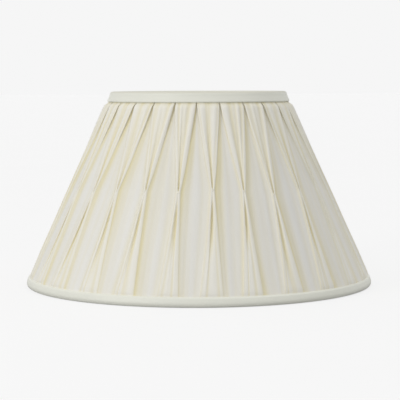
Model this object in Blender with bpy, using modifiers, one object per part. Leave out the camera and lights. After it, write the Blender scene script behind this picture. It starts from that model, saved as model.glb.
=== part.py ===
"""Pinch-pleated empire lamp shade on a wire frame, with a reversible gimbal fitter.

Metres, +Z up. The origin is the centre of the bottom rim, on the surface that the shade stands on.
The gimbal's arms lie along X, and its pivot turns about X.

The wall is a stack of layers that all follow one cone. An inset is how far a face lies inside that
cone, measured level: the pleats' crests are at 0, then come the backing, the struts and the lining.
"""

import math

import bmesh
import bpy
from mathutils import Matrix

# Driving dimensions of the shade
HEIGHT = 0.2225
CONE_BOTTOM_RADIUS = 0.2017
CONE_TOP_RADIUS = 0.0993
BOTTOM_DIAMETER = 0.400
PLEATS = 26
FIRST_GAP_ANGLE = math.radians(-91)
PINCH_HEIGHT = 0.116
TRIM_WIDTH = 0.0118
STRUTS = 8

# Layers of the wall, as insets
CREST = 0.0
GROOVE = 0.0026
TUCKED = 0.0030
COVER_THICKNESS = 0.0006
BACKING_FACE = 0.0039
SHEET_THICKNESS = 0.0006
FRAME_INSET = 0.0078
LINING_FACE = 0.0098
TRIM_LEG_FACE = 0.0108
TRIM_LEG_THICKNESS = 0.0010

# Wire frame
RING_WIRE_RADIUS = 0.00175
WIRE_RADIUS = 0.0015
TAPE_CLEARANCE = 0.0004
TAPE_THICKNESS = 0.0005
TAPE_RADIUS = RING_WIRE_RADIUS + TAPE_CLEARANCE + TAPE_THICKNESS
TRIM_SKIN = 0.0010
GAP = 0.0003
BOTTOM_RING_HEIGHT = TRIM_SKIN + GAP + TAPE_RADIUS
TOP_RING_HEIGHT = HEIGHT - BOTTOM_RING_HEIGHT

# Gimbal: arms fixed to the top ring, and a stirrup that swings between them
PIVOT_HEIGHT = 0.2075
PLATE_THICKNESS = 0.0012
TAB_THICKNESS = 0.0016
PLATE_WIDTH = 0.008
LEG_FACE = 0.0334
TAB_FACE = LEG_FACE + PLATE_THICKNESS + 0.0004
ARM_BEND_RADIUS = 0.004
RIVET_RADIUS = 0.0014
RIVET_HOLE_RADIUS = 0.0018
RIVET_HEAD_RADIUS = 0.0026
RIVET_HEAD_HEIGHT = 0.0012
FITTER_TOP = 0.1723
FITTER_THICKNESS = 0.0015
FITTER_OUTER_RADIUS = 0.030
FITTER_HOLE_RADIUS = 0.02125
REDUCER_BORE_RADIUS = 0.0145
REDUCER_HUB_RADIUS = 0.0208
REDUCER_FLANGE_RADIUS = 0.024

AROUND = 52
FITTER_AROUND = 36
MERGE = 0.00001
SLOPE = (CONE_BOTTOM_RADIUS - CONE_TOP_RADIUS) / HEIGHT
FULL_TURN = 2 * math.pi


def cone(inset, height):
    """Radius of the layer at this inset and height."""
    return CONE_BOTTOM_RADIUS - SLOPE * height - inset


def arc(centre, radius, start_degrees, end_degrees, steps):
    """Points along an arc in the XZ plane, both ends included."""
    turn = [math.radians(start_degrees + (end_degrees - start_degrees) * i / steps) for i in range(steps + 1)]
    return [(centre[0] + radius * math.cos(a), centre[1] + radius * math.sin(a)) for a in turn]


# Scene and materials


def clear_scene():
    for thing in list(bpy.data.objects):
        bpy.data.objects.remove(thing, do_unlink=True)


def make_collection(name):
    collection = bpy.data.collections.new(name)
    bpy.context.scene.collection.children.link(collection)
    return collection


def make_material(name, colour, roughness, metallic=0.0):
    material = bpy.data.materials.new(name)
    material.use_nodes = True
    shader = material.node_tree.nodes["Principled BSDF"]
    shader.inputs["Base Color"].default_value = (*colour, 1.0)
    shader.inputs["Roughness"].default_value = roughness
    shader.inputs["Metallic"].default_value = metallic
    return material


clear_scene()
PARTS = make_collection("pleated_lamp_shade")
CUTTERS = make_collection("cutters")
SILK = make_material("ivory_silk", (0.86, 0.83, 0.72), 0.55)
BIAS_BINDING = make_material("ivory_bias_binding", (0.84, 0.82, 0.73), 0.5)
WHITE_COTTON = make_material("white_cotton", (0.85, 0.85, 0.82), 0.85)
LINING_CLOTH = make_material("lining_cloth", (0.90, 0.88, 0.80), 0.6)
COATED_WIRE = make_material("white_coated_wire", (0.88, 0.87, 0.83), 0.35)
ZINC = make_material("zinc_plate", (0.72, 0.72, 0.70), 0.35, 1.0)
WHITE_PLASTIC = make_material("white_plastic", (0.90, 0.90, 0.88), 0.4)


# Modelling helpers


def file_under(thing, name, material, collection=PARTS):
    """Names an object, gives it its material and moves it to its collection."""
    thing.name = name
    thing.data.name = name
    thing.data.materials.clear()
    thing.data.materials.append(material)
    for current in list(thing.users_collection):
        current.objects.unlink(thing)
    collection.objects.link(thing)
    return thing


def new_object(name, data, material):
    thing = bpy.data.objects.new(name, data)
    PARTS.objects.link(thing)
    return file_under(thing, name, material)


def turned(name, outline, material, steps=AROUND):
    """A closed outline of (radius, height) points, turned about Z."""
    mesh = bpy.data.meshes.new(name)
    edges = [(i, (i + 1) % len(outline)) for i in range(len(outline))]
    mesh.from_pydata([(radius, 0.0, height) for radius, height in outline], edges, [])
    piece = new_object(name, mesh, material)
    screw = piece.modifiers.new("turn", "SCREW")
    screw.angle = FULL_TURN
    screw.steps = steps
    screw.render_steps = steps
    screw.use_merge_vertices = True
    screw.merge_threshold = MERGE
    screw.use_smooth_shade = False
    return piece


def wire_ring(name, radius, height, wire_radius, material):
    bpy.ops.mesh.primitive_torus_add(
        location=(0, 0, height),
        major_radius=radius,
        minor_radius=wire_radius,
        major_segments=AROUND,
        minor_segments=8,
    )
    ring = file_under(bpy.context.object, name, material)
    ring.data.shade_smooth()
    return ring


def wire(name, points, radius, material):
    """A round wire along a line of points."""
    curve = bpy.data.curves.new(name, "CURVE")
    curve.dimensions = "3D"
    curve.bevel_depth = radius
    curve.bevel_resolution = 2
    curve.use_fill_caps = True
    spline = curve.splines.new("POLY")
    spline.points.add(len(points) - 1)
    for point, place in zip(spline.points, points):
        point.co = (*place, 1.0)
    return new_object(name, curve, material)


def outline_plate(name, outlines, thickness, material):
    """A flat plate from closed outlines in the XY plane: the first is its edge, the others are holes."""
    curve = bpy.data.curves.new(name, "CURVE")
    curve.dimensions = "2D"
    curve.fill_mode = "BOTH"
    curve.extrude = thickness / 2
    for outline in outlines:
        spline = curve.splines.new("POLY")
        spline.points.add(len(outline) - 1)
        for point, (x, y) in zip(spline.points, outline):
            point.co = (x, y, 0.0, 1.0)
        spline.use_cyclic_u = True
    return new_object(name, curve, material)


def as_mesh(curve_object):
    """The curve object replaced by a welded mesh object of the same shape and place."""
    bpy.context.view_layer.update()
    graph = bpy.context.evaluated_depsgraph_get()
    mesh = bpy.data.meshes.new_from_object(curve_object.evaluated_get(graph))
    welded = bmesh.new()
    welded.from_mesh(mesh)
    bmesh.ops.remove_doubles(welded, verts=welded.verts, dist=MERGE)
    bmesh.ops.recalc_face_normals(welded, faces=welded.faces)
    welded.to_mesh(mesh)
    welded.free()
    name = curve_object.name
    place = curve_object.matrix_world.copy()
    material = curve_object.data.materials[0]
    bpy.data.objects.remove(curve_object, do_unlink=True)
    piece = new_object(name, mesh, material)
    piece.matrix_world = place
    return piece


def box(name, low, high, material):
    bpy.ops.mesh.primitive_cube_add(size=1, location=[(a + b) / 2 for a, b in zip(low, high)])
    block = file_under(bpy.context.object, name, material)
    block.data.transform(Matrix.Diagonal([b - a for a, b in zip(low, high)]).to_4x4())
    return block


def combine(piece, other, operation):
    """Cuts the other object from the piece, or joins the two. The other object stays as a hidden helper."""
    file_under(other, other.name, other.data.materials[0], CUTTERS)
    other.hide_render = True
    other.display_type = "WIRE"
    boolean = piece.modifiers.new(other.name, "BOOLEAN")
    boolean.operation = operation
    boolean.solver = "EXACT"
    boolean.object = other
    return piece


# Fabric


def pleat_columns(height):
    """Positions across one pleat, as shares of its pitch, with their insets.

    The box is widest under the top trim, is nipped together at the pinch and opens again below it.
    """
    if height > PINCH_HEIGHT:
        share = (height - PINCH_HEIGHT) / (HEIGHT - PINCH_HEIGHT)
        open_width = 0.43
    else:
        share = (PINCH_HEIGHT - height) / PINCH_HEIGHT
        open_width = 0.24
    nipped_width = 0.06
    half = nipped_width + (open_width - nipped_width) * share
    step = 0.04
    fold_in = 0.0018 * (1 - share)
    return [
        (0.0, GROOVE),
        (0.5 - half - step, GROOVE),
        (0.5 - half, CREST),
        (0.5, CREST + fold_in),
        (0.5 + half, CREST),
        (0.5 + half + step, GROOVE),
    ]


def pleated_cover():
    """The outer cover: a grid wrapped round the cone, drawn in flat under both trims."""
    tuck_low = TRIM_WIDTH + 0.0012
    tuck_high = HEIGHT - TRIM_WIDTH - 0.0012
    puff = 0.003
    rows = [
        (0.0032, True),
        (tuck_low, True),
        (tuck_low + puff, False),
        (PINCH_HEIGHT, False),
        (tuck_high - puff, False),
        (tuck_high, True),
        (HEIGHT - 0.0019, True),
    ]
    across = len(pleat_columns(PINCH_HEIGHT))
    columns = PLEATS * across
    grid = bmesh.new()
    bmesh.ops.create_grid(grid, x_segments=columns, y_segments=len(rows) - 1, size=0.5)
    for vertex in grid.verts:
        column = round((vertex.co.x + 0.5) * columns)
        height, tucked = rows[round((vertex.co.y + 0.5) * (len(rows) - 1))]
        share, inset = pleat_columns(height)[column % across]
        angle = FIRST_GAP_ANGLE + FULL_TURN * (column // across + share) / PLEATS
        radius = cone(TUCKED if tucked else inset, height)
        vertex.co = (radius * math.cos(angle), radius * math.sin(angle), height)
    bmesh.ops.remove_doubles(grid, verts=grid.verts, dist=MERGE)
    mesh = bpy.data.meshes.new("pleated_cover")
    grid.to_mesh(mesh)
    grid.free()
    cover = new_object("pleated_cover", mesh, SILK)
    shell = cover.modifiers.new("cloth thickness", "SOLIDIFY")
    shell.thickness = COVER_THICKNESS
    shell.offset = -1
    return cover


def conical_sheet(name, inset, low, high, material):
    """A plain sheet of cloth round the cone, its outer face at this inset."""
    inner = inset + SHEET_THICKNESS
    outline = [(cone(inset, high), high), (cone(inset, low), low), (cone(inner, low), low), (cone(inner, high), high)]
    return turned(name, outline, material)


def bottom_trim():
    """A padded bias binding folded round the bottom ring, with a flat foot."""
    widest = BOTTOM_DIAMETER / 2
    edge = TRIM_WIDTH
    leg_top = 0.010
    leg_inner = TRIM_LEG_FACE + TRIM_LEG_THICKNESS
    wall_inner = 0.0021
    foot_outer = cone(0.0050, 0)
    foot_inner = cone(0.0115, 0)
    outside = [
        (cone(0.0006, edge), edge),
        (cone(-0.0010, 0.0100), 0.0100),
        (widest, 0.0065),
        (widest - 0.0007, 0.0030),
        (foot_outer, 0.0),
        (foot_inner, 0.0),
        (cone(leg_inner, 0.0026) - 0.0004, 0.0026),
        (cone(leg_inner, leg_top), leg_top),
    ]
    inside = [
        (cone(TRIM_LEG_FACE, leg_top), leg_top),
        (cone(TRIM_LEG_FACE, 0.0022), 0.0022),
        (foot_inner + 0.0012, TRIM_SKIN),
        (foot_outer - 0.0016, TRIM_SKIN),
        (cone(wall_inner, 0.0026), 0.0026),
        (cone(wall_inner, edge), edge),
    ]
    return turned("bottom_trim", outside + inside, BIAS_BINDING)


def top_trim():
    """The same binding folded over the top ring, with a slot in its inner leg for each gimbal arm."""
    edge = HEIGHT - TRIM_WIDTH
    leg_bottom = HEIGHT - 0.010
    leg_inner = TRIM_LEG_FACE + TRIM_LEG_THICKNESS
    wall_inner = 0.0024
    ceiling = HEIGHT - TRIM_SKIN
    outside = [
        (cone(leg_inner, HEIGHT - 0.0014), HEIGHT - 0.0014),
        (cone(leg_inner - 0.0016, HEIGHT), HEIGHT),
        (cone(0.0026, HEIGHT), HEIGHT),
        (cone(0.0002, HEIGHT - 0.0016), HEIGHT - 0.0016),
        (cone(-0.0014, HEIGHT - 0.0055), HEIGHT - 0.0055),
        (cone(-0.0018, edge + 0.0015), edge + 0.0015),
        (cone(-0.0004, edge), edge),
    ]
    inside = [
        (cone(wall_inner, edge), edge),
        (cone(wall_inner, HEIGHT - 0.0018), HEIGHT - 0.0018),
        (cone(wall_inner + 0.0008, ceiling), ceiling),
        (cone(TRIM_LEG_FACE, ceiling), ceiling),
        (cone(TRIM_LEG_FACE, leg_bottom), leg_bottom),
        (cone(leg_inner, leg_bottom), leg_bottom),
    ]
    trim = turned("top_trim", outside + inside, BIAS_BINDING)
    slot_half_width = WIRE_RADIUS + 0.0004
    slot_inner = cone(leg_inner, HEIGHT) - 0.003
    slot_outer = cone(TRIM_LEG_FACE, leg_bottom) + 0.001
    slot_top = TOP_RING_HEIGHT + slot_half_width
    for side, direction in (("left", -1), ("right", 1)):
        ends = sorted((direction * slot_inner, direction * slot_outer))
        slot = box(
            "arm_slot_" + side,
            (ends[0], -slot_half_width, leg_bottom - 0.001),
            (ends[1], slot_half_width, slot_top),
            BIAS_BINDING,
        )
        combine(trim, slot, "DIFFERENCE")
    return trim


# Frame


def ring_binding(name, ring_height):
    """Cotton tape wound round a ring: a C section that stays open on the inner side, where the arms join."""
    centre = (cone(FRAME_INSET, ring_height), ring_height)
    open_half_angle = 60
    outer = arc(centre, TAPE_RADIUS, 180 - open_half_angle, open_half_angle - 180, 5)
    inner = arc(centre, TAPE_RADIUS - TAPE_THICKNESS, open_half_angle - 180, 180 - open_half_angle, 5)
    return turned(name, outer + inner, WHITE_COTTON)


def strut(number):
    """A straight wire up the slope, from one bound ring to the other."""
    angle = FULL_TURN * (number - 0.5) / STRUTS
    clear = TAPE_RADIUS + 2 * GAP
    ends = (BOTTOM_RING_HEIGHT + clear, TOP_RING_HEIGHT - clear)
    points = []
    for height in ends:
        radius = cone(FRAME_INSET, height)
        points.append((radius * math.cos(angle), radius * math.sin(angle), height))
    return wire(f"strut_{number}", points, WIRE_RADIUS, COATED_WIRE)


# Gimbal fitter


def eye_plate(name, face, thickness, length, sense, material):
    """An upright plate across X with a round end and a rivet hole at the pivot, running up (1) or down (-1)."""
    half = PLATE_WIDTH / 2
    round_end = arc((0, 0), half, 180, 360, 10)
    outline = [(x, sense * y) for x, y in round_end] + [(half, sense * length), (-half, sense * length)]
    hole = [(x, y) for x, y in arc((0, 0), RIVET_HOLE_RADIUS, 0, 330, 11)]
    plate = outline_plate(name, [outline, hole], thickness, material)
    plate.rotation_euler = (math.pi / 2, 0, math.pi / 2)
    plate.location = (face + thickness / 2, 0, PIVOT_HEIGHT)
    return as_mesh(plate)


def mirrored_name(stem, direction):
    return f"{stem}_{'right' if direction > 0 else 'left'}"


def signed_face(face, thickness, direction):
    """The lower X face of a plate at this distance from the middle, on either side."""
    return face if direction > 0 else -face - thickness


def gimbal_arm(direction):
    """A wire from the top ring inwards, turned down and flattened into an eye."""
    name = mirrored_name("gimbal_arm", direction)
    outer_end = cone(FRAME_INSET, TOP_RING_HEIGHT) - RING_WIRE_RADIUS - GAP
    down_line = TAB_FACE + WIRE_RADIUS + 0.0001
    bend = arc((down_line + ARM_BEND_RADIUS, TOP_RING_HEIGHT - ARM_BEND_RADIUS), ARM_BEND_RADIUS, 90, 180, 5)
    line = [(outer_end, TOP_RING_HEIGHT)] + bend + [(down_line, PIVOT_HEIGHT + PLATE_WIDTH / 2)]
    arm = as_mesh(wire(name, [(direction * x, 0, z) for x, z in line], WIRE_RADIUS, COATED_WIRE))
    face = signed_face(TAB_FACE, TAB_THICKNESS, direction)
    eye = eye_plate(name + "_eye", face, TAB_THICKNESS, PLATE_WIDTH / 2 + 0.002, 1, COATED_WIRE)
    return combine(arm, eye, "UNION")


def stirrup_leg(direction):
    """A flat leg that hangs from the rivet, with its foot turned in over the fitter ring."""
    name = mirrored_name("stirrup_leg", direction)
    foot_bottom = FITTER_TOP + GAP
    foot_top = foot_bottom + PLATE_THICKNESS
    face = signed_face(LEG_FACE, PLATE_THICKNESS, direction)
    leg = eye_plate(name, face, PLATE_THICKNESS, PIVOT_HEIGHT - foot_bottom, -1, COATED_WIRE)
    foot_inner = REDUCER_FLANGE_RADIUS + 0.0015
    foot_outer = LEG_FACE + PLATE_THICKNESS / 2
    ends = sorted((direction * foot_inner, direction * foot_outer))
    half = PLATE_WIDTH / 2 - 0.0002
    foot = box(
        name + "_foot", (ends[0], -half, foot_bottom + 0.00002), (ends[1], half, foot_top), COATED_WIRE
    )
    return combine(leg, foot, "UNION")


def rivet(direction):
    """A domed rivet through the arm's eye and the leg."""
    inner_end = LEG_FACE - GAP
    outer_end = TAB_FACE + TAB_THICKNESS + GAP
    half = (outer_end - inner_end) / 2
    crown = RIVET_HEAD_RADIUS * 0.6
    outline = [
        (0.0, half + RIVET_HEAD_HEIGHT),
        (crown, half + RIVET_HEAD_HEIGHT * 0.8),
        (RIVET_HEAD_RADIUS, half),
        (RIVET_RADIUS, half),
        (RIVET_RADIUS, -half),
        (RIVET_HEAD_RADIUS, -half),
        (crown, -half - RIVET_HEAD_HEIGHT * 0.8),
        (0.0, -half - RIVET_HEAD_HEIGHT),
    ]
    pin = turned(mirrored_name("pivot_rivet", direction), outline, ZINC, steps=12)
    pin.rotation_euler = (0, math.pi / 2, 0)
    pin.location = (direction * (inner_end + half), 0, PIVOT_HEIGHT)
    return pin


def fitter_ring():
    """The pressed steel ring that takes the lamp holder, with a turned-down outer lip."""
    lip = 0.002
    skin = 0.0012
    under = FITTER_TOP - FITTER_THICKNESS
    outline = [
        (FITTER_HOLE_RADIUS, FITTER_TOP),
        (FITTER_OUTER_RADIUS - 0.0006, FITTER_TOP),
        (FITTER_OUTER_RADIUS, FITTER_TOP - 0.0006),
        (FITTER_OUTER_RADIUS, under - lip),
        (FITTER_OUTER_RADIUS - skin, under - lip),
        (FITTER_OUTER_RADIUS - skin, under),
        (FITTER_HOLE_RADIUS, under),
    ]
    return turned("fitter_ring", outline, COATED_WIRE, steps=FITTER_AROUND)


def reducer_ring():
    """The plastic insert for the smaller lamp holder: its flange lies on the fitter ring."""
    flange_bottom = FITTER_TOP + GAP
    flange_top = flange_bottom + 0.0014
    hub_bottom = FITTER_TOP - 0.0030
    outline = [
        (REDUCER_BORE_RADIUS, flange_top),
        (REDUCER_FLANGE_RADIUS - 0.0004, flange_top),
        (REDUCER_FLANGE_RADIUS, flange_top - 0.0004),
        (REDUCER_FLANGE_RADIUS, flange_bottom),
        (REDUCER_HUB_RADIUS, flange_bottom),
        (REDUCER_HUB_RADIUS, hub_bottom),
        (REDUCER_BORE_RADIUS, hub_bottom),
    ]
    return turned("reducer_ring", outline, WHITE_PLASTIC, steps=FITTER_AROUND)


def build():
    pleated_cover()
    sheet_low = BOTTOM_RING_HEIGHT
    conical_sheet("backing", BACKING_FACE, sheet_low, HEIGHT - 0.0019, WHITE_COTTON)
    clear = TAPE_RADIUS + GAP
    conical_sheet("lining", LINING_FACE, BOTTOM_RING_HEIGHT + clear, TOP_RING_HEIGHT - clear, LINING_CLOTH)
    bottom_trim()
    top_trim()
    for name, height in (("bottom", BOTTOM_RING_HEIGHT), ("top", TOP_RING_HEIGHT)):
        wire_ring(name + "_ring", cone(FRAME_INSET, height), height, RING_WIRE_RADIUS, COATED_WIRE)
        ring_binding(name + "_ring_binding", height)
    for number in range(1, STRUTS + 1):
        strut(number)
    for direction in (-1, 1):
        gimbal_arm(direction)
        stirrup_leg(direction)
        rivet(direction)
    fitter_ring()
    reducer_ring()


build()
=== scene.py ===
"""A hand-pinched silk lamp shade: pleated cover, bound rims, lining, wire frame and reversible gimbal.

Metres, +Z up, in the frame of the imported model. The wall is made of layers that follow one cone, and an
inset is how far a point lies inside that cone, measured level.
"""

import math
from collections import namedtuple

import bmesh
import bpy
import numpy as np
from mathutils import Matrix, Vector


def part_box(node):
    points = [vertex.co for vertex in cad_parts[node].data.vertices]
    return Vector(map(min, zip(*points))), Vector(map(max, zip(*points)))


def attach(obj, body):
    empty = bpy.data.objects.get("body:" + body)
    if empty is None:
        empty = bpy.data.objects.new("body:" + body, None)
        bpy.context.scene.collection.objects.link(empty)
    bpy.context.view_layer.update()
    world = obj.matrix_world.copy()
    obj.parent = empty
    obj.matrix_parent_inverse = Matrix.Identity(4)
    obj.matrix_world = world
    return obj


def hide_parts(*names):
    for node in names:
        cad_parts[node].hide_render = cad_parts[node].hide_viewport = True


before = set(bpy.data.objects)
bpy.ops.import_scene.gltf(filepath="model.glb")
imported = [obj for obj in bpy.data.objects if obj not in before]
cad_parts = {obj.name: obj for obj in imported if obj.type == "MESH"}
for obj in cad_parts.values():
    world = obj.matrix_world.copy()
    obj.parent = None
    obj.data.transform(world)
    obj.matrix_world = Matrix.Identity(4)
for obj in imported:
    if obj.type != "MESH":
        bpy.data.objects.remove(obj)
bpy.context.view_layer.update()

# The cone that the wall's layers follow
HEIGHT = 0.2225
CONE_BOTTOM_RADIUS = 0.2017
CONE_TOP_RADIUS = 0.0993
SLOPE = (CONE_BOTTOM_RADIUS - CONE_TOP_RADIUS) / HEIGHT

# Trims, and the cover's edges under them
TRIM_WIDTH = 0.0108
TUCK_LOW = TRIM_WIDTH
TUCK_HIGH = HEIGHT - TRIM_WIDTH
COVER_LOW = 0.0040
COVER_HIGH = HEIGHT - 0.0030
ROUND = 416

# Insets of the cover
CREST = -0.0017
FACE_DROP = 0.0004
UNDER_LAYER = 0.0016
BURIED = 0.0027
HEMMED = 0.0012
DEEPEST = 0.0034

# Pleats. The drifts are how far round their pinches and feet have moved from the top's gaps.
PLEATS = 26
PITCH = 2 * math.pi / PLEATS
FIRST_GAP = math.radians(-90.3)
PINCH_HEIGHT = 0.1165
PINCH_DRIFT = math.radians(1.3)
FOOT_DRIFT = math.radians(2.9)
NIPPED = 0.0019
TOUCHING = 0.0003
FULLEST = 1.06

# Folds
SOFT_EDGE = 0.0026
CRISP_EDGE = 0.0006
CRISP_FILLET = 0.0012
TOP_SHALLOWING = 0.0014
PINCH_REACH = 0.035
# How wide the soft painted shade beside each fold runs
WIDE_SHADOW = 0.0085

# Creases and slits down the boxes' middles
UPPER_CREASE = 0.0021
SLIT_DEPTH = 0.0039
SLIT_WIDTH = 0.0052
# Crease depth at which the painted shade is full
FULL_SHADE_DEPTH = 0.0020

# Ripples in the flat layer and gathers in the boxes, which need cloth this wide to form fully
LOOSE_WIDTH = 0.009
RIPPLE = 0.00050
FINE_RIPPLE = 0.00026
CALM_REACH = 0.004
UNDER_CROWN = 0.0003
GATHER = 0.00072
FINE_GATHER = 0.00038
BOX_CROWN = 0.0004

# Pinch stitches, whose ends dip into the folds
STITCH_SPACING = 0.0007
STITCH_HALF = 0.0023
STITCH_SLANT = 0.0002
STITCH_LIFT = -0.0002
STITCH_DIP = 0.0020
THREAD_RADIUS = 0.00030

# Bindings
LUMPS = 0.00015
LAP_RISE = 0.00045
LAP_WIDTH = 0.012
# Painted shade along the top binding's fold over the rim: its height and width
FOLD_SHADE_HEIGHT = HEIGHT - 0.0006
FOLD_SHADE_WIDTH = 0.0008

# Lining
LINING_FACE = 0.0101
LINING_PULL = 0.00007
SEAMS = (math.radians(67.5), math.radians(247.5))
SEAM_WIDTH = 0.0016
SEAM_DEPTH = 0.00035

# Thickness of each cloth
SILK_THICKNESS = 0.0003
BINDING_THICKNESS = 0.0005
LINING_THICKNESS = 0.00025

dice = np.random.default_rng(26)


def cone(inset, height):
    """The radius of a layer of the wall at this height."""
    return CONE_BOTTOM_RADIUS - SLOPE * height - inset


def ease(value, start, end):
    """0 at start, 1 at end, with a smooth run between."""
    share = np.clip((value - start) / (end - start), 0.0, 1.0)
    return share * share * (3 - 2 * share)


def mix(low, high, share):
    return low + (high - low) * share


# Materials


class Thread:
    """One output socket. Arithmetic on it adds Math nodes."""

    def __init__(self, finish, socket):
        self.finish = finish
        self.socket = socket

    def maths(self, operation, *values):
        return self.finish.add("ShaderNodeMath", {"operation": operation}, dict(enumerate(values)))

    def __add__(self, other):
        return self.maths("ADD", self, other)

    def __radd__(self, other):
        return self.maths("ADD", other, self)

    def __sub__(self, other):
        return self.maths("SUBTRACT", self, other)

    def __rsub__(self, other):
        return self.maths("SUBTRACT", other, self)

    def __mul__(self, other):
        return self.maths("MULTIPLY", self, other)

    def __rmul__(self, other):
        return self.maths("MULTIPLY", other, self)

    def clamped(self):
        return self.finish.add("ShaderNodeClamp", {}, {0: self})


class Finish:
    """A material, or the studio's world, made node by node."""

    def __init__(self, name, world=None):
        self.made = world or bpy.data.materials.new(name)
        self.made.use_nodes = True
        self.nodes = self.made.node_tree.nodes
        self.shader = self.nodes["Background" if world else "Principled BSDF"]

    def add(self, kind, settings, values, output=0):
        """A node of this type. Its settings are set first, then its sockets, to values or to links."""
        node = self.nodes.new(kind)
        for name, setting in settings.items():
            if name == "stops":
                self.set_stops(node.color_ramp, setting)
            else:
                setattr(node, name, setting)
        for name, value in values.items():
            self.plug(node.inputs[name], value)
        return Thread(self, node.outputs[output])

    def set_stops(self, ramp, stops):
        while len(ramp.elements) < len(stops):
            ramp.elements.new(1.0)
        for element, (position, colour) in zip(ramp.elements, stops):
            element.position = position
            element.color = (*colour, 1.0)

    def plug(self, socket, value):
        if isinstance(value, Thread):
            self.made.node_tree.links.new(value.socket, socket)
        elif isinstance(value, tuple) and len(value) == 3 and socket.type == "RGBA":
            socket.default_value = (*value, 1.0)
        else:
            socket.default_value = value

    def finish(self, **values):
        """Sets the shader's sockets. An underscore in a keyword is a space in the socket's name."""
        for name, value in values.items():
            self.plug(self.shader.inputs[name.replace("_", " ")], value)
        return self.made

    def mark(self, name):
        """A number kept at the mesh's points."""
        return self.add("ShaderNodeAttribute", {"attribute_name": name}, {}, output="Fac")

    def cloth_place(self, across, down):
        """The place on the flat cloth, from its UV map in metres, scaled to threads across and down."""
        flat = self.add("ShaderNodeUVMap", {"uv_map": "cloth"}, {})
        scale = {"Vector": flat, "Scale": (across, down, 1.0)}
        return self.add("ShaderNodeMapping", {"vector_type": "POINT"}, scale)

    def place(self, scale):
        """The place in the object, in metres, scaled."""
        solid = self.add("ShaderNodeTexCoord", {}, {}, output="Object")
        scaled = {"Vector": solid, "Scale": (scale,) * 3}
        return self.add("ShaderNodeMapping", {"vector_type": "POINT"}, scaled)

    def noise(self, place, detail=3.0, roughness=0.5, scale=1.0):
        values = {"Vector": place, "Scale": scale, "Detail": detail, "Roughness": roughness}
        return self.add("ShaderNodeTexNoise", {}, values)

    def tint(self, share, low, high, blend="MIX"):
        """A colour between two others."""
        settings = {"data_type": "RGBA", "blend_type": blend}
        return self.add("ShaderNodeMix", settings, {"Factor": share, 6: low, 7: high}, output=2)

    def bump(self, height, strength, distance):
        values = {"Height": height, "Strength": strength, "Distance": distance}
        return self.add("ShaderNodeBump", {}, values)


def woven(finish, warp, weft, place=None):
    """Height of a plain weave with this many threads to the metre."""
    if place is None:
        place = finish.cloth_place(1.0, 1.0)
    threads = []
    for direction, count in (("X", warp), ("Y", weft)):
        settings = {"wave_type": "BANDS", "wave_profile": "SIN", "bands_direction": direction}
        threads.append(finish.add("ShaderNodeTexWave", settings, {"Vector": place, "Scale": count}))
    return threads[0] * 0.5 + threads[1] * 0.5


def silk():
    """Ivory dupion: fine weave and long slubs, paler on the flat layer, with painted ochre shade in the
    folds.
    """
    cloth = Finish("ivory_silk")
    slub = cloth.noise(cloth.cloth_place(900.0, 22.0), detail=4.0)
    shot = cloth.noise(cloth.cloth_place(160.0, 9.0), detail=2.0)
    face = cloth.mark("box_face")
    crease = cloth.mark("crease")
    behind = cloth.tint(shot, (0.84, 0.83, 0.785), (0.89, 0.885, 0.86))
    front = cloth.tint(shot, (0.89, 0.87, 0.785), (0.92, 0.905, 0.84))
    colour = cloth.tint(face, behind, front)
    cloud = cloth.noise(cloth.cloth_place(14.0, 9.0), detail=3.0)
    colour = cloth.tint((cloud - 0.45) * 0.5, colour, (0.90, 0.86, 0.80), blend="MULTIPLY")
    # Painted shade: the crease mark darkens the silk towards ochre in folds, creases, slits and under the
    # top trim
    colour = cloth.tint((crease * 0.82).clamped(), colour, (0.815, 0.742, 0.475))
    colour = cloth.tint((slub - 0.5) * 0.12 + 0.06, colour, (0.76, 0.74, 0.62))
    height = slub * 0.6 + woven(cloth, 2600.0, 2300.0) * 0.25
    return cloth.finish(
        Base_Color=colour,
        Roughness=slub * 0.14 + 0.42,
        Specular_IOR_Level=0.35,
        Sheen_Weight=0.18,
        Sheen_Roughness=0.45,
        Sheen_Tint=(1.0, 0.97, 0.88),
        Normal=cloth.bump(height, 0.5, 0.00022),
    )


def satin_binding():
    """Bias-cut satin: the weave runs at 45 degrees round the rims."""
    cloth = Finish("ivory_bias_binding")
    slant = cloth.add(
        "ShaderNodeMapping",
        {"vector_type": "POINT"},
        {"Vector": cloth.cloth_place(1.0, 1.0), "Rotation": (0.0, 0.0, math.radians(45))},
    )
    stretch = {"Vector": slant, "Scale": (420.0, 26.0, 1.0)}
    grain = cloth.noise(cloth.add("ShaderNodeMapping", {"vector_type": "POINT"}, stretch), detail=3.0)
    drift = cloth.noise(cloth.cloth_place(24.0, 60.0), detail=2.0)
    colour = cloth.tint(drift, (0.80, 0.81, 0.725), (0.86, 0.865, 0.76))
    colour = cloth.tint(grain * 0.34, colour, (0.90, 0.89, 0.80))
    # Painted shade along the binding's fold over the top rim
    colour = cloth.tint(cloth.mark("rim_fold"), colour, (0.66, 0.64, 0.53))
    return cloth.finish(
        Base_Color=colour,
        Roughness=grain * 0.2 + 0.31,
        Specular_IOR_Level=0.75,
        Normal=cloth.bump(grain * 0.7 + woven(cloth, 1900.0, 1900.0, slant) * 0.3, 0.5, 0.00022),
    )


def lining_cloth():
    cloth = Finish("lining_cloth")
    shot = cloth.noise(cloth.cloth_place(70.0, 12.0), detail=3.0)
    slub = cloth.noise(cloth.cloth_place(700.0, 40.0), detail=3.0)
    colour = cloth.tint(shot, (0.84, 0.82, 0.73), (0.90, 0.88, 0.80))
    return cloth.finish(
        Base_Color=colour,
        Roughness=slub * 0.15 + 0.48,
        Sheen_Weight=0.12,
        Sheen_Roughness=0.5,
        Normal=cloth.bump(slub * 0.5 + woven(cloth, 2400.0, 2400.0) * 0.3, 0.25, 0.0001),
    )


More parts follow.
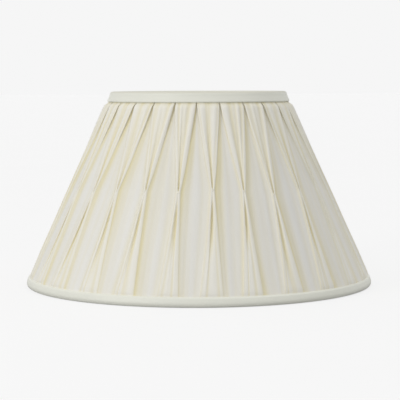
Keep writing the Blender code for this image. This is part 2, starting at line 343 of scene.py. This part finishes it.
def cotton():
    cloth = Finish("white_cotton")
    fibre = cloth.noise(cloth.place(1600.0), detail=4.0)
    return cloth.finish(
        Base_Color=cloth.tint(fibre, (0.78, 0.78, 0.74), (0.88, 0.88, 0.85)),
        Roughness=fibre * 0.15 + 0.78,
        Normal=cloth.bump(fibre, 0.5, 0.0002),
    )


def sewing_thread():
    cloth = Finish("sewing_thread")
    twist = cloth.noise(cloth.place(5200.0), detail=1.0)
    return cloth.finish(
        Base_Color=cloth.tint(twist, (0.93, 0.89, 0.76), (0.97, 0.95, 0.86)),
        Roughness=twist * 0.2 + 0.5,
        Normal=cloth.bump(twist, 0.4, 0.0001),
    )


def coated_wire():
    """White powder coat: orange peel, and a little grime in the pores."""
    paint = Finish("white_coated_wire")
    peel = paint.noise(paint.place(900.0), detail=2.0)
    dust = paint.noise(paint.place(60.0), detail=4.0)
    return paint.finish(
        Base_Color=paint.tint(dust, (0.78, 0.77, 0.73), (0.88, 0.87, 0.84)),
        Roughness=dust * 0.2 + 0.26,
        Coat_Weight=0.15,
        Coat_Roughness=0.25,
        Normal=paint.bump(peel, 0.18, 0.0002),
    )


def zinc_plate():
    metal = Finish("zinc_plate")
    grain = metal.noise(metal.place(1400.0), detail=3.0)
    bloom = metal.noise(metal.place(220.0), detail=3.0)
    return metal.finish(
        Base_Color=metal.tint(bloom, (0.55, 0.56, 0.57), (0.74, 0.74, 0.72)),
        Metallic=1.0,
        Roughness=bloom * 0.2 + 0.25,
        Normal=metal.bump(grain, 0.2, 0.0001),
    )


def moulded_plastic():
    plastic = Finish("white_plastic")
    grain = plastic.noise(plastic.place(2600.0), detail=2.0)
    flow = plastic.noise(plastic.place(90.0), detail=2.0)
    return plastic.finish(
        Base_Color=plastic.tint(flow, (0.82, 0.82, 0.79), (0.88, 0.88, 0.86)),
        Roughness=grain * 0.12 + 0.34,
        Normal=plastic.bump(grain, 0.15, 0.0001),
    )


SILK = silk()
BINDING = satin_binding()
LINING = lining_cloth()
COTTON = cotton()
SEWING_THREAD = sewing_thread()
COATED_WIRE = coated_wire()
ZINC = zinc_plate()
PLASTIC = moulded_plastic()


# Cloth surfaces


def wrapped_cloth(name, points, flat, material, marks=None):
    """A sheet from a grid of points [row, column], whose columns go once round the shade.

    flat holds each point's place on the flat cloth, with one more column than points, where the ends meet.
    """
    rows, columns = points.shape[:2]
    index = np.arange(rows * columns).reshape(rows, columns)
    right = np.roll(index, -1, axis=1)
    quads = np.stack([index[:-1], right[:-1], right[1:], index[1:]], axis=-1).reshape(-1, 4)
    mesh = bpy.data.meshes.new(name)
    mesh.from_pydata(points.reshape(-1, 3).tolist(), [], quads.tolist())
    mesh.shade_smooth()
    corner_flat = np.stack([flat[:-1, :-1], flat[:-1, 1:], flat[1:, 1:], flat[1:, :-1]], axis=2)
    layer = mesh.uv_layers.new(name="cloth")
    layer.data.foreach_set("uv", corner_flat.astype(np.float32).ravel())
    for mark, values in (marks or {}).items():
        attribute = mesh.attributes.new(mark, "FLOAT", "POINT")
        attribute.data.foreach_set("value", values.astype(np.float32).ravel())
    mesh.materials.append(material)
    piece = bpy.data.objects.new(name, mesh)
    bpy.context.scene.collection.objects.link(piece)
    return piece


def flat_places(points, heights):
    """Each point's place on the flat cloth: the distance along its row, and its height up the slope."""
    closed = np.concatenate([points, points[:, :1]], axis=1)
    steps = np.linalg.norm(np.diff(closed, axis=1), axis=2)
    along = np.concatenate([np.zeros((len(points), 1)), np.cumsum(steps, axis=1)], axis=1)
    along *= np.median(along[:, -1]) / along[:, -1:]
    up = np.broadcast_to(heights[:, None] * math.hypot(1, SLOPE), along.shape)
    return np.stack([along, up], axis=-1)


def give_thickness(piece, thickness, offset=-1.0):
    shell = piece.modifiers.new("cloth thickness", "SOLIDIFY")
    shell.thickness = thickness
    shell.offset = offset
    shell.use_even_offset = False


class Pleats:
    """Where each pleat's folds run. Every array holds one value for each pleat."""

    def __init__(self):
        number = np.arange(PLEATS)
        self.gap_top = FIRST_GAP + PITCH * number + self.vary(0.5)
        self.gap_foot = FIRST_GAP + PITCH * number - FOOT_DRIFT + self.vary(0.4)
        centre = FIRST_GAP + PITCH * (number + 0.5)
        self.pinch = centre - PINCH_DRIFT + self.vary(0.45)
        foot = centre - FOOT_DRIFT + self.vary(0.6)
        half_foot = np.radians(dice.uniform(2.8, 3.8, PLEATS))
        self.foot_left = foot - half_foot
        self.foot_right = foot + half_foot
        self.pinch_height = PINCH_HEIGHT + np.clip(dice.normal(0, 0.0022, PLEATS), -0.004, 0.004)
        self.slit_length = dice.uniform(0.66, 1.1, PLEATS)
        self.slit_depth = dice.uniform(0.55, 1.0, PLEATS)
        self.slit_side = dice.uniform(-0.50, 0.06, PLEATS)
        self.crease_side = dice.uniform(-0.25, 0.25, PLEATS)
        self.phase = dice.uniform(0, 2 * math.pi, (8, PLEATS))

    def vary(self, degrees):
        return np.radians(np.clip(dice.normal(0, degrees, PLEATS), -1.6 * degrees, 1.6 * degrees))


# One side of a box pleat, left (-1) or right (1). The fillet turns up into the fold and takes a share of the
# rise. The fold's painted shadow has a tone and a width, with more of both near the pinch, and a wide soft
# tone.
# The last number is how far the slit reaches to this side.
FoldSide = namedtuple(
    "FoldSide", "sign phase fillet rise tone tone_near shadow shadow_near wide_tone slit_reach"
)
LEFT = FoldSide(-1, 0, 0.0018, 0.78, 0.30, 0.0, 0.0018, 0.0, 0.20, 1.15)
RIGHT = FoldSide(1, 1, 0.0034, 0.70, 0.50, 0.27, 0.0034, 0.0012, 0.50, 0.70)

# Where the control points lie, from a gap's middle to the fold, and from a box's edge to its middle
UNDER_SHARES = (0.0, 0.20, 0.38, 0.55, 0.69, 0.80, 0.89, 0.96)
FACE_SHARES = (0.10, 0.22, 0.36, 0.50, 0.64, 0.76, 0.88)


def next_pleat(angles):
    """Each pleat's neighbour's angle, which is a full turn on after the last one."""
    following = np.roll(angles, -1)
    following[-1] += 2 * math.pi
    return following


class Level:
    """Where the folds of every pleat lie at one height."""

    def __init__(self, pleats, height):
        pinch = pleats.pinch_height
        self.height = height
        self.radius = cone(0.0, height)
        self.upper = height > pinch
        self.above = np.clip((height - pinch) / (TUCK_HIGH - pinch), 0, FULLEST)
        self.below = np.clip((pinch - height) / (pinch - TUCK_LOW), 0, FULLEST)
        self.near_pinch = np.exp(-(((height - pinch) / PINCH_REACH) ** 2))
        self.gap = mix(pleats.gap_foot, pleats.gap_top, ease(height, TUCK_LOW, TUCK_HIGH))
        self.next_gap = next_pleat(self.gap)
        nip = NIPPED / cone(0.0, pinch)
        touch = TOUCHING / cone(0.0, TUCK_HIGH)
        self.fold_left = np.where(
            self.upper,
            mix(pleats.pinch - nip, pleats.gap_top + touch, self.above),
            mix(pleats.pinch - nip, pleats.foot_left, self.below),
        )
        self.fold_right = np.where(
            self.upper,
            mix(pleats.pinch + nip, next_pleat(pleats.gap_top) - touch, self.above),
            mix(pleats.pinch + nip, pleats.foot_right, self.below),
        )
        self.half = (self.fold_right - self.fold_left) / 2 * self.radius
        self.crisp = ease(self.above, 0.25, 1.0)
        self.rolled = np.minimum(mix(SOFT_EDGE, CRISP_EDGE, self.crisp), self.half * 0.45)


def fillet_rise(level, side):
    """How far the flat layer has come up where it meets the fold. Near the top it stays down."""
    return (UNDER_LAYER - CREST) * (1 - level.crisp) * side.rise


def under_layer(pleats, level, side, fold, edge):
    """Points of the flat layer beside a box pleat, from the gap's middle to the fold."""
    wide = abs(fold - edge) * level.radius
    loose = np.clip(wide / LOOSE_WIDTH, 0, 1)
    fillet = mix(side.fillet, CRISP_FILLET, level.crisp)
    shadow = side.shadow + side.shadow_near * level.near_pinch
    tone = side.tone + side.tone_near * level.near_pinch
    uneven = 1 + 0.5 * np.sin(pleats.phase[6] + 26 * level.height * side.sign)
    sway = pleats.phase[4] * 0.2 + 1.1 * level.height / HEIGHT
    run = []
    for share in UNDER_SHARES:
        away = wide * (1 - share)
        ripple = RIPPLE * np.sin(9.5 * share + pleats.phase[side.phase] + sway)
        ripple = (ripple + FINE_RIPPLE * np.sin(17.0 * share + pleats.phase[5] - 1.7 * sway)) * loose
        calm = 1 - np.exp(-((away / CALM_REACH) ** 2))
        inset = UNDER_LAYER - UNDER_CROWN * (1 - share) * loose - ripple * calm
        inset = inset - fillet_rise(level, side) * np.exp(-away / fillet)
        # Painted shadow beside the fold, a wide soft painted shade, and painted shade in the ripples'
        # valleys
        shade = tone * np.exp(-away / shadow)
        shade = shade + side.wide_tone * uneven * np.exp(-((away / WIDE_SHADOW) ** 1.5))
        shade = shade + np.clip(-ripple / 0.0012, 0, 0.35)
        run.append((mix(edge, fold, share), inset, 0.0, shade))
    return run


def side_wall(level, side, fold):
    """Points where the cloth turns up at the fold and rolls over the box's edge.

    Each mix runs from the soft fold lower down to the crisp one under the top trim.
    """
    crisp = level.crisp
    inward = -side.sign / level.radius
    base = UNDER_LAYER - fillet_rise(level, side) - TOP_SHALLOWING * ease(level.above, 0.5, 1.0)
    tuck = inward * np.minimum(mix(-0.0003, 0.0009, crisp), level.half * 0.7)
    lip = inward * mix(0.0001, -0.0001, crisp)
    shoulder = inward * mix(level.rolled * 0.36, -0.0004, crisp)
    # The last number of each point is painted shade, darkest where the cloth turns up at the fold
    return [
        (fold + tuck, base + 0.0001 + 0.0002 * crisp, 0.0, 0.70),
        (fold + tuck, base - 0.0001 - 0.0003 * crisp, 0.4, 0.60),
        (fold + lip, base - 0.0002 - 0.0004 * crisp, 0.9, 0.32),
        (fold + shoulder, mix(CREST, base, 0.40), 1.0, 0.14),
        (fold + inward * level.rolled, CREST + 0.0001, 1.0, 0.02),
    ]


def groove_shade(depth):
    """How much painted shade a crease of this depth gets, from 0 to 1."""
    return np.clip(depth / FULL_SHADE_DEPTH, 0, 1) ** 1.2


def box_face(pleats, level, side, fold, centre, groove, narrow):
    """Points of a box's face, from its rolled edge to the crease or slit down its middle.

    The crease is a valley that is nearly level again one reach away from its middle.
    """
    first = fold - side.sign * level.rolled / level.radius
    reach_share = np.where(level.upper, narrow, narrow * side.slit_reach)
    run = []
    for share in FACE_SHARES:
        reach = (1 - share) / reach_share
        dip = groove * np.exp(-2.2 * reach**2.6)
        gather = np.sin(side.sign * 7.2 * share + pleats.phase[2] + 1.5 * level.above)
        gather = gather * GATHER + FINE_GATHER * np.sin(side.sign * 12.0 * share + pleats.phase[3])
        gather = gather * np.clip(level.half / LOOSE_WIDTH, 0, 1)
        crown = BOX_CROWN * (1 - share)
        inset = CREST + FACE_DROP + dip - (gather + crown) * ripple_envelope(level.height)
        # Painted shade in the crease or slit, and in the gathers' valleys
        shade = groove_shade(dip) + np.clip(-gather / 0.0008, 0, 0.7)
        run.append((mix(first, centre, share), inset, 1.0, shade))
    return run


def pleat_section(pleats, height):
    """Control points of every pleat at this height, from one gap's middle to the next.

    Gives their angles and insets, whether they are on a box's face, and how much painted shade they get in
    folds, creases and slits.
    """
    level = Level(pleats, height)
    shift = mix(pleats.crease_side * 0.3, pleats.slit_side, ease(level.below, 0.0, 0.3))
    shift = np.where(level.upper, pleats.crease_side, shift)
    centre = (level.fold_left + level.fold_right) / 2 + shift * level.half / level.radius
    closing = ease(level.below, 0.36 * pleats.slit_length, pleats.slit_length)
    open_slit = pleats.slit_depth * (ease(level.below, 0.0, 0.30) * (1 - closing))
    upper_crease = UPPER_CREASE * np.clip(1 - level.above, 0, 1) ** 0.9 + 0.0002
    groove = np.where(level.upper, upper_crease, SLIT_DEPTH * open_slit)
    slit_share = np.clip(SLIT_WIDTH / level.half, 0.40, 0.90)
    narrow = np.where(level.upper, mix(0.85, 0.30, level.above**0.5), slit_share)

    halves = []
    for side, fold, edge in ((LEFT, level.fold_left, level.gap), (RIGHT, level.fold_right, level.next_gap)):
        run = under_layer(pleats, level, side, fold, edge) + side_wall(level, side, fold)
        halves.append(run + box_face(pleats, level, side, fold, centre, groove, narrow))
    middle = (centre, CREST + FACE_DROP + groove, 1.0, groove_shade(groove))
    order = halves[0] + [middle] + halves[1][::-1][:-1]
    blank = np.zeros(PLEATS)
    angle, inset, face, crease = (np.array([blank + point[i] for point in order]) for i in range(4))

    # In under the top trim, a gentler box towards the hem, and level with the bottom trim's edge
    inset = mix(inset, BURIED, 0.82 * ease(height, TUCK_HIGH - 0.0055, TUCK_HIGH + 0.0005))
    gentler = 0.20 * ease(level.below, 0.1, 0.5) + 0.30 * ease(-height, -0.050, -TUCK_LOW)
    inset = mix(inset, HEMMED, gentler)
    inset = mix(inset, HEMMED, 0.95 * ease(-height, -TUCK_LOW - 0.0036, -TUCK_LOW + 0.0002))
    # Painted shadow on the cover just under the top trim
    crease = crease + 0.4 * ease(height, TUCK_HIGH - 0.0065, TUCK_HIGH)
    return angle.T.ravel(), inset.T.ravel(), face.T.ravel(), crease.T.ravel()


def ripple_envelope(height):
    """Gathers are strongest just under the top trim, and soft elsewhere."""
    return 0.55 + 0.75 * ease(height, PINCH_HEIGHT + 0.03, TUCK_HIGH - 0.01)


def smoothed(values):
    """A closed row of control values, read as a cubic B-spline at each point."""
    return (np.roll(values, 1, 0) + 4 * values + np.roll(values, -1, 0)) / 6


def kept_out(row, height):
    """The row with no point further in than the backing leaves room for."""
    radius = np.hypot(row[:, 0], row[:, 1])
    row[:, :2] *= (np.maximum(radius, cone(DEEPEST, height)) / radius)[:, None]
    return row


def cover_heights():
    """Heights of the cover's rows, closer together at both trims and at the pinches."""
    runs = [
        np.linspace(COVER_LOW, TUCK_LOW + 0.0036, 7),
        np.linspace(TUCK_LOW + 0.008, 0.099, 12),
        np.linspace(0.103, 0.130, 11),
        np.linspace(0.134, TUCK_HIGH - 0.010, 10),
        np.linspace(TUCK_HIGH - 0.007, COVER_HIGH, 7),
    ]
    return np.concatenate(runs)


def on_cone(angles, inset, height):
    """A row of points round the wall."""
    radius = cone(inset, height)
    return np.stack([radius * np.cos(angles), radius * np.sin(angles), np.full(len(angles), height)], axis=1)


def pleated_cover(pleats):
    """The cover, and the width and length of its cloth laid flat."""
    heights = cover_heights()
    points, faces, crease_shades = [], [], []
    for height in heights:
        angle, inset, face, crease = pleat_section(pleats, height)
        points.append(kept_out(smoothed(on_cone(angle, inset, height)), height))
        faces.append(smoothed(face))
        crease_shades.append(smoothed(crease))
    points = np.array(points)
    # The crease mark holds painted shade for the silk's colour
    marks = {"box_face": np.array(faces), "crease": np.array(crease_shades)}
    flat = flat_places(points, heights)
    piece = wrapped_cloth("silk_cover", points, flat, SILK, marks)
    give_thickness(piece, SILK_THICKNESS)
    rows = np.linalg.norm(points - np.roll(points, 1, axis=1), axis=2).sum(axis=1)
    return piece, (float(rows.max()), float(flat[-1, 0, 1] - flat[0, 0, 1]))


def pinch_stitches(pleats):
    """Three short threads over the two folds of each pleat, where they are nipped together."""
    made = bmesh.new()
    for pleat in range(PLEATS):
        for turn in (-1, 0, 1):
            height = pleats.pinch_height[pleat] + turn * STITCH_SPACING
            points = []
            for share in np.linspace(-1, 1, 7):
                angle = pleats.pinch[pleat] + share * STITCH_HALF / cone(0, height)
                radius = cone(CREST, height) + STITCH_LIFT - STITCH_DIP * abs(share) ** 3
                place = height + turn * STITCH_SLANT * share
                points.append(Vector((radius * math.cos(angle), radius * math.sin(angle), place)))
            add_tube(made, points, THREAD_RADIUS, 8)
    return mesh_piece("pinch_stitches", made, SEWING_THREAD)


def add_tube(made, points, radius, sides):
    """A closed round tube along a line of points."""
    rings = []
    for i, point in enumerate(points):
        ahead = points[min(i + 1, len(points) - 1)] - points[max(i - 1, 0)]
        side = ahead.cross(Vector((0, 0, 1)))
        side = (side if side.length > 1e-9 else Vector((1, 0, 0))).normalized()
        up = ahead.cross(side).normalized()
        ring = []
        for k in range(sides):
            turn = 2 * math.pi * k / sides
            ring.append(made.verts.new(point + radius * (side * math.cos(turn) + up * math.sin(turn))))
        rings.append(ring)
    for lower, upper in zip(rings, rings[1:]):
        for k in range(sides):
            made.faces.new((lower[k], lower[(k + 1) % sides], upper[(k + 1) % sides], upper[k]))
    made.faces.new(rings[0][::-1])
    made.faces.new(rings[-1])


def mesh_piece(name, made, material):
    bmesh.ops.recalc_face_normals(made, faces=made.faces)
    mesh = bpy.data.meshes.new(name)
    made.to_mesh(mesh)
    made.free()
    mesh.shade_smooth()
    mesh.materials.append(material)
    piece = bpy.data.objects.new(name, mesh)
    bpy.context.scene.collection.objects.link(piece)
    return piece


def round_curve(points, per_span):
    """A line of (inset, height) points, rounded by Catmull-Rom."""
    points = np.array(points)
    before = np.vstack([points[:1], points[:-1]])
    after = np.vstack([points[1:], points[-1:]])
    beyond = np.vstack([after[1:], after[-1:]])
    made = []
    for i in range(len(points) - 1):
        for t in np.arange(per_span) / per_span:
            a, b, c, d = before[i], points[i], after[i], beyond[i]
            square = 2 * a - 5 * b + 4 * c - d
            cube = 3 * b - a - 3 * c + d
            made.append(0.5 * (2 * b + (c - a) * t + square * t**2 + cube * t**3))
    made.append(points[-1])
    return np.array(made)


def binding(name, profile, join_angle, node):
    """A bias strip folded over a rim, with its two ends lapped at join_angle.

    profile runs over the rim from the edge outside to the edge inside, as (inset, height).
    """
    line = round_curve(profile, 4)
    angles = 2 * math.pi * np.arange(ROUND) / ROUND
    lumps = LUMPS * sum(np.sin(k * angles + dice.uniform(0, 6.28)) / k**0.5 for k in (5, 9, 14, 23))
    past_join = np.mod(angles - join_angle, 2 * math.pi)
    lap = LAP_RISE * (past_join < LAP_WIDTH / CONE_TOP_RADIUS) * ease(past_join, 0.0, 0.03)
    points = []
    for k, (inset, height) in enumerate(line):
        share = k / (len(line) - 1)
        swell = (lumps + lap) * (1 - ease(share, 0.45, 0.6))
        swell = swell * (0.3 + 0.7 * math.sin(math.pi * min(2 * share, 1)))
        points.append(on_cone(angles, inset - swell, height))
    points = np.array(points)[::-1]
    lengths = np.linalg.norm(np.diff(points[:, 0], axis=0), axis=1)
    run = np.concatenate([[0], np.cumsum(lengths)])
    length = 2 * math.pi * cone(0, profile[0][1])
    along = np.linspace(0, length, ROUND + 1)
    flat = np.stack(np.broadcast_arrays(along[None, :], run[:, None]), axis=-1)
    # Painted shade along the fold over the top rim, 0.75 at its darkest
    rim_fold = 0.75 * np.exp(-(((points[:, :1, 2] - FOLD_SHADE_HEIGHT) / FOLD_SHADE_WIDTH) ** 2)) * np.ones(ROUND)
    piece = wrapped_cloth(name, points, flat, BINDING, {"rim_fold": rim_fold})
    give_thickness(piece, BINDING_THICKNESS)
    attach(piece, "shade")
    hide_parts(node)


# Each binding's section, over the rim from the edge outside to the edge inside, as (inset, height)
TOP_BINDING = [
    (0.0026, TUCK_HIGH + 0.0006),
    (0.0012, TUCK_HIGH - 0.0001),
    (-0.0002, TUCK_HIGH + 0.0001),
    (-0.0006, TUCK_HIGH + 0.0012),
    (-0.0006, HEIGHT - 0.0080),
    (-0.0008, HEIGHT - 0.0045),
    (-0.0012, HEIGHT - 0.0019),
    (-0.0007, HEIGHT - 0.0005),
    (0.0010, HEIGHT),
    (0.0048, HEIGHT),
    (0.0085, HEIGHT - 0.0001),
    (0.0108, HEIGHT - 0.0011),
    (0.0116, HEIGHT - 0.0032),
    (0.0116, HEIGHT - 0.0065),
    (0.0113, HEIGHT - 0.0096),
    (0.0103, HEIGHT - 0.0103),
]
BOTTOM_BINDING = [
    (0.0024, TUCK_LOW - 0.0003),
    (0.0011, TUCK_LOW + 0.0003),
    (0.0001, TUCK_LOW - 0.0002),
    (-0.0005, TUCK_LOW - 0.0012),
    (-0.0004, 0.0080),
    (-0.0002, 0.0062),
    (0.0003, 0.0044),
    (0.0012, 0.0028),
    (0.0026, 0.0013),
    (0.0046, 0.0003),
    (0.0080, 0.0001),
    (0.0106, 0.0010),
    (0.0117, 0.0030),
    (0.0117, 0.0062),
    (0.0113, 0.0094),
    (0.0103, 0.0102),
]


def lining_sheet():
    """Bias-cut lining pulled tight from ring to ring, with a seam over two of the struts."""
    low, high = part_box("lining")
    heights = np.linspace(low.z + 0.0002, high.z - 0.0002, 26)
    angles = 2 * math.pi * np.arange(ROUND) / ROUND
    phases = dice.uniform(0, 2 * math.pi, 6)
    points = []
    for height in heights:
        share = (height - heights[0]) / (heights[-1] - heights[0])
        pull = sum(np.sin(k * angles + p + 2.2 * share) for k, p in zip((7, 12, 19, 31, 44, 58), phases))
        edge = 0.35 + 0.65 * abs(2 * share - 1) ** 3
        radius = cone(LINING_FACE, height)
        seam = sum(np.exp(-(((angles - at) * radius) / SEAM_WIDTH) ** 2) for at in SEAMS)
        points.append(on_cone(angles, LINING_FACE + LINING_PULL * pull * edge + SEAM_DEPTH * seam, height))
    points = np.array(points)
    piece = wrapped_cloth("lining_sheet", points, flat_places(points, heights), LINING)
    give_thickness(piece, LINING_THICKNESS, offset=0.0)
    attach(piece, "shade")
    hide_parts("lining")
    sector = math.sin(math.atan(SLOPE))
    outer = cone(LINING_FACE, heights[0]) / sector
    inner = cone(LINING_FACE, heights[-1]) / sector
    half_turn = math.pi * sector
    flat = (2 * outer * math.sin(half_turn), outer - inner * math.cos(half_turn))
    area = half_turn * (outer**2 - inner**2)


def dress_frame():
    """Better finishes on the frame's own parts, which keep their shapes."""
    wires = ("strut", "gimbal_arm", "stirrup", "fitter")
    for name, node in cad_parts.items():
        if name.startswith(wires) or name in ("top_ring", "bottom_ring"):
            finish = COATED_WIRE
        elif name.startswith("pivot_rivet"):
            finish = ZINC
        elif name == "reducer_ring":
            finish = PLASTIC
        else:
            finish = COTTON
        node.data.materials.clear()
        node.data.materials.append(finish)


# Studio

BACKDROP = 0.921
FLOOR_GLOW = 0.735
WINDOW_POWER = 17.6
WINDOW_PLACE = (-2.0, -1.9, 0.9)
# The world's brightness by direction, from straight down (0) through the horizon (0.5) to straight up (1)
STUDIO_BANDS = [(0.38, 0.30), (0.47, 0.40), (0.485, BACKDROP), (0.545, BACKDROP), (0.60, 0.59), (0.92, 0.90)]


def studio_floor():
    """A pale floor that glows evenly and throws no light on the shade."""
    floor = Finish("studio_floor")
    speck = floor.noise(floor.place(3.0), detail=2.0)
    floor.finish(
        Base_Color=floor.tint(speck, (0.20, 0.20, 0.20), (0.21, 0.21, 0.21)),
        Roughness=0.9,
        Specular_IOR_Level=0.1,
        Emission_Color=(1.0, 1.0, 1.0),
        Emission_Strength=FLOOR_GLOW,
    )
    bpy.ops.mesh.primitive_plane_add(size=60, location=(0, 0, 0))
    plane = bpy.context.object
    plane.name = "studio_floor"
    plane.data.materials.append(floor.made)
    plane.visible_diffuse = False
    plane.visible_glossy = False


def area_light(name, place, target, size, power, colour):
    data = bpy.data.lights.new(name, "AREA")
    data.shape = "DISK"
    data.size = size
    data.energy = power
    data.color = colour
    light = bpy.data.objects.new(name, data)
    light.location = place
    light.rotation_euler = (Vector(target) - Vector(place)).to_track_quat("-Z", "Y").to_euler()
    bpy.context.scene.collection.objects.link(light)


def studio():
    """A bright backdrop at the horizon, a softer ceiling, a dim room below, and a window on the left."""
    studio_floor()
    sky = Finish("studio", bpy.data.worlds.new("studio"))
    direction = sky.add("ShaderNodeTexCoord", {}, {}, output="Generated")
    upward = sky.add("ShaderNodeSeparateXYZ", {}, {"Vector": direction}, output="Z")
    stops = [(position, (level,) * 3) for position, level in STUDIO_BANDS]
    bands = sky.add("ShaderNodeValToRGB", {"stops": stops}, {"Fac": upward * 0.5 + 0.5})
    bpy.context.scene.world = sky.finish(Color=bands)
    area_light("window", WINDOW_PLACE, (0, 0, 0.1), 0.8, WINDOW_POWER, (1.0, 0.99, 0.985))
    bpy.context.scene.view_settings.view_transform = "Standard"


def camera():
    data = bpy.data.cameras.new("camera")
    data.sensor_width = 36.0
    data.lens = 135.1
    eye = bpy.data.objects.new("camera", data)
    eye.location = (0.0019, -1.738, 0.2329)
    eye.rotation_euler = (math.radians(90 - 4.473), math.radians(0.2), 0)
    bpy.context.scene.collection.objects.link(eye)
    bpy.context.scene.camera = eye


camera()
pleats = Pleats()
cover, cover_flat = pleated_cover(pleats)
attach(cover, "shade")
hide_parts("pleated_cover")
stitches = pinch_stitches(pleats)
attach(stitches, "shade")
lining_sheet()
binding("top_binding", TOP_BINDING, math.radians(97), "top_trim")
binding("bottom_binding", BOTTOM_BINDING, math.radians(97), "bottom_trim")
dress_frame()
studio()
